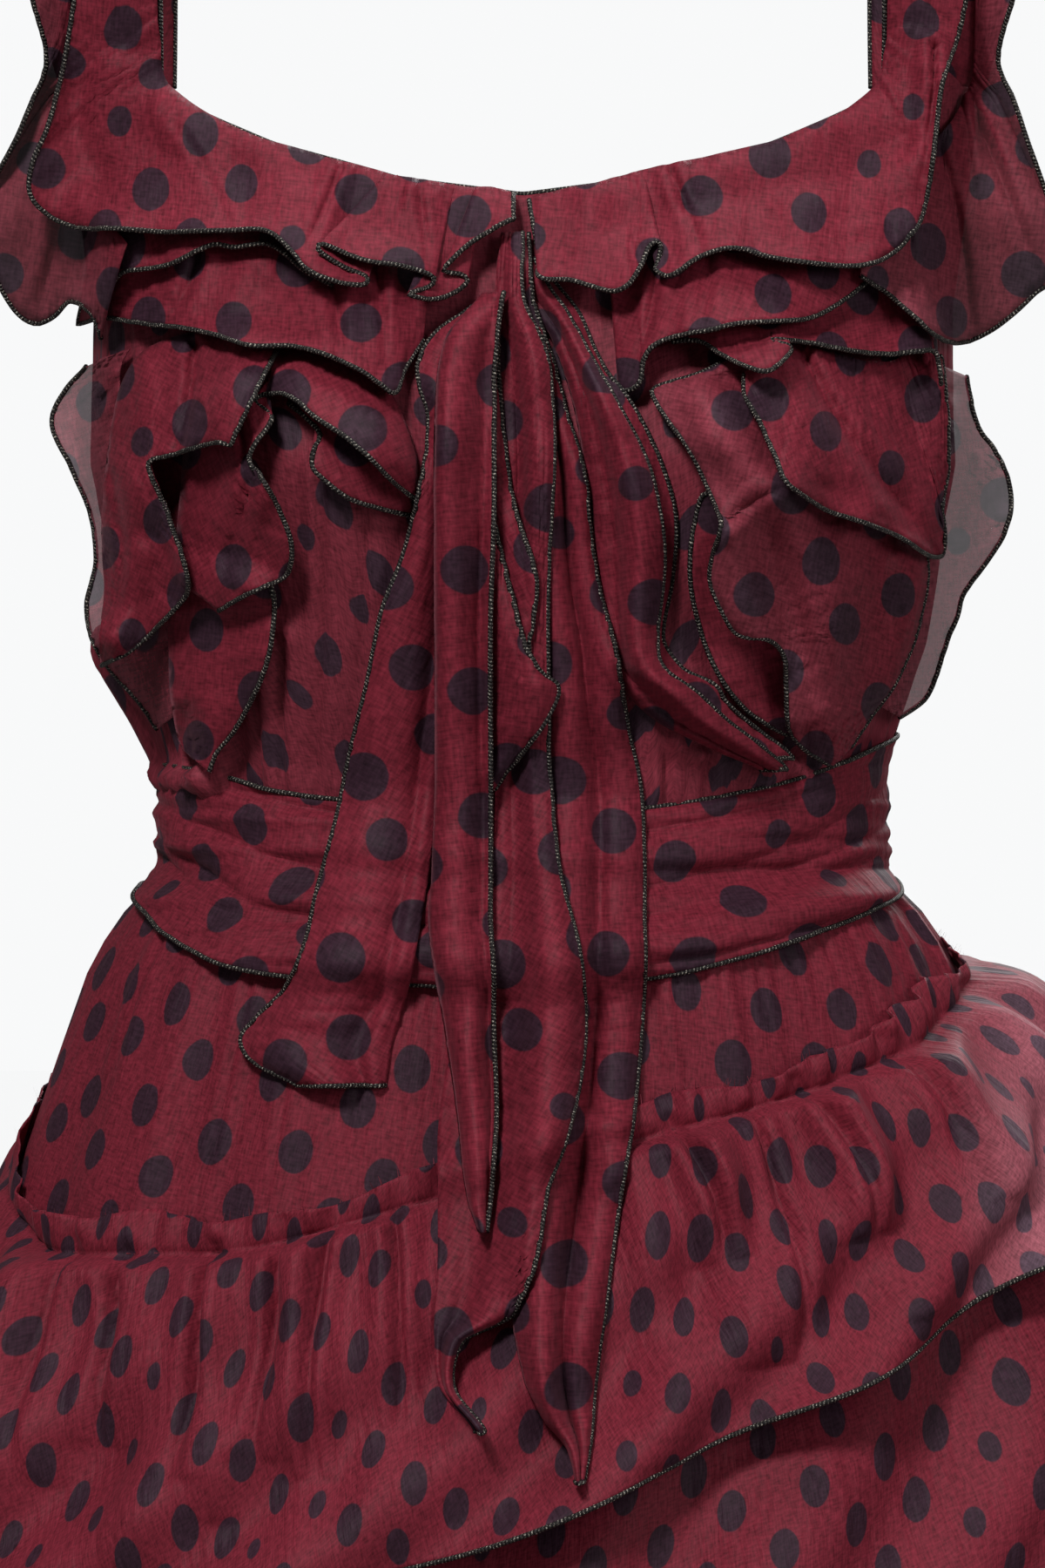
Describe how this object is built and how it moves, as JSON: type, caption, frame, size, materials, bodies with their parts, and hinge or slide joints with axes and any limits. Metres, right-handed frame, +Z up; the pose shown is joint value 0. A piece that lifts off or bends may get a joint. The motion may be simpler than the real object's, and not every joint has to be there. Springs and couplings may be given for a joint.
{
  "type": "ruffled gown",
  "caption": "Floor-length spotted silk gown with a scooped neck, layered ruffles, hanging falls, a wound sash and a slanting tiered skirt.",
  "frame": {"origin": "on the centre line of the gown, level with the tops of the shoulders", "axes": "+Z up, the front faces -Y, +X is to the right of a viewer who faces the front"},
  "size_m": [0.7561, 0.6673, 1.3855],
  "materials": {
    "spotted_silk": "thin burgundy silk with dark dots",
    "spotted_silk_shade": "the same silk where it lies under other cloth"
  },
  "bodies": {
    "root": {"bodice_front": "spotted_silk_shade", "bodice_back_left": "spotted_silk_shade", "bodice_back_right": "spotted_silk_shade", "strap_left": "spotted_silk_shade", "strap_right": "spotted_silk_shade", "skirt_base": "spotted_silk_shade", "sash": "spotted_silk", "tier_1": "spotted_silk", "tier_2": "spotted_silk", "tier_3": "spotted_silk", "tier_4": "spotted_silk", "tier_5": "spotted_silk", "side_ruffle_left": "spotted_silk", "side_ruffle_right": "spotted_silk", "bust_ruffle_right_under": "spotted_silk", "bust_ruffle_right_inner": "spotted_silk", "bust_ruffle_right_outer": "spotted_silk", "bust_ruffle_left_lower": "spotted_silk", "bust_ruffle_left_outer": "spotted_silk", "bust_ruffle_left_inner": "spotted_silk", "low_flounce_right": "spotted_silk", "second_flounce_right": "spotted_silk", "second_flounce_left": "spotted_silk", "under_flounce_left": "spotted_silk", "fall_right_short": "spotted_silk", "fall_right_long": "spotted_silk", "fall_centre": "spotted_silk", "fall_curl": "spotted_silk", "fall_left": "spotted_silk", "fall_leaf": "spotted_silk", "cap_ruffle_left": "spotted_silk", "cap_ruffle_right": "spotted_silk", "neck_flounce_left": "spotted_silk", "neck_flounce_right": "spotted_silk"}
  },
  "joints": []
}
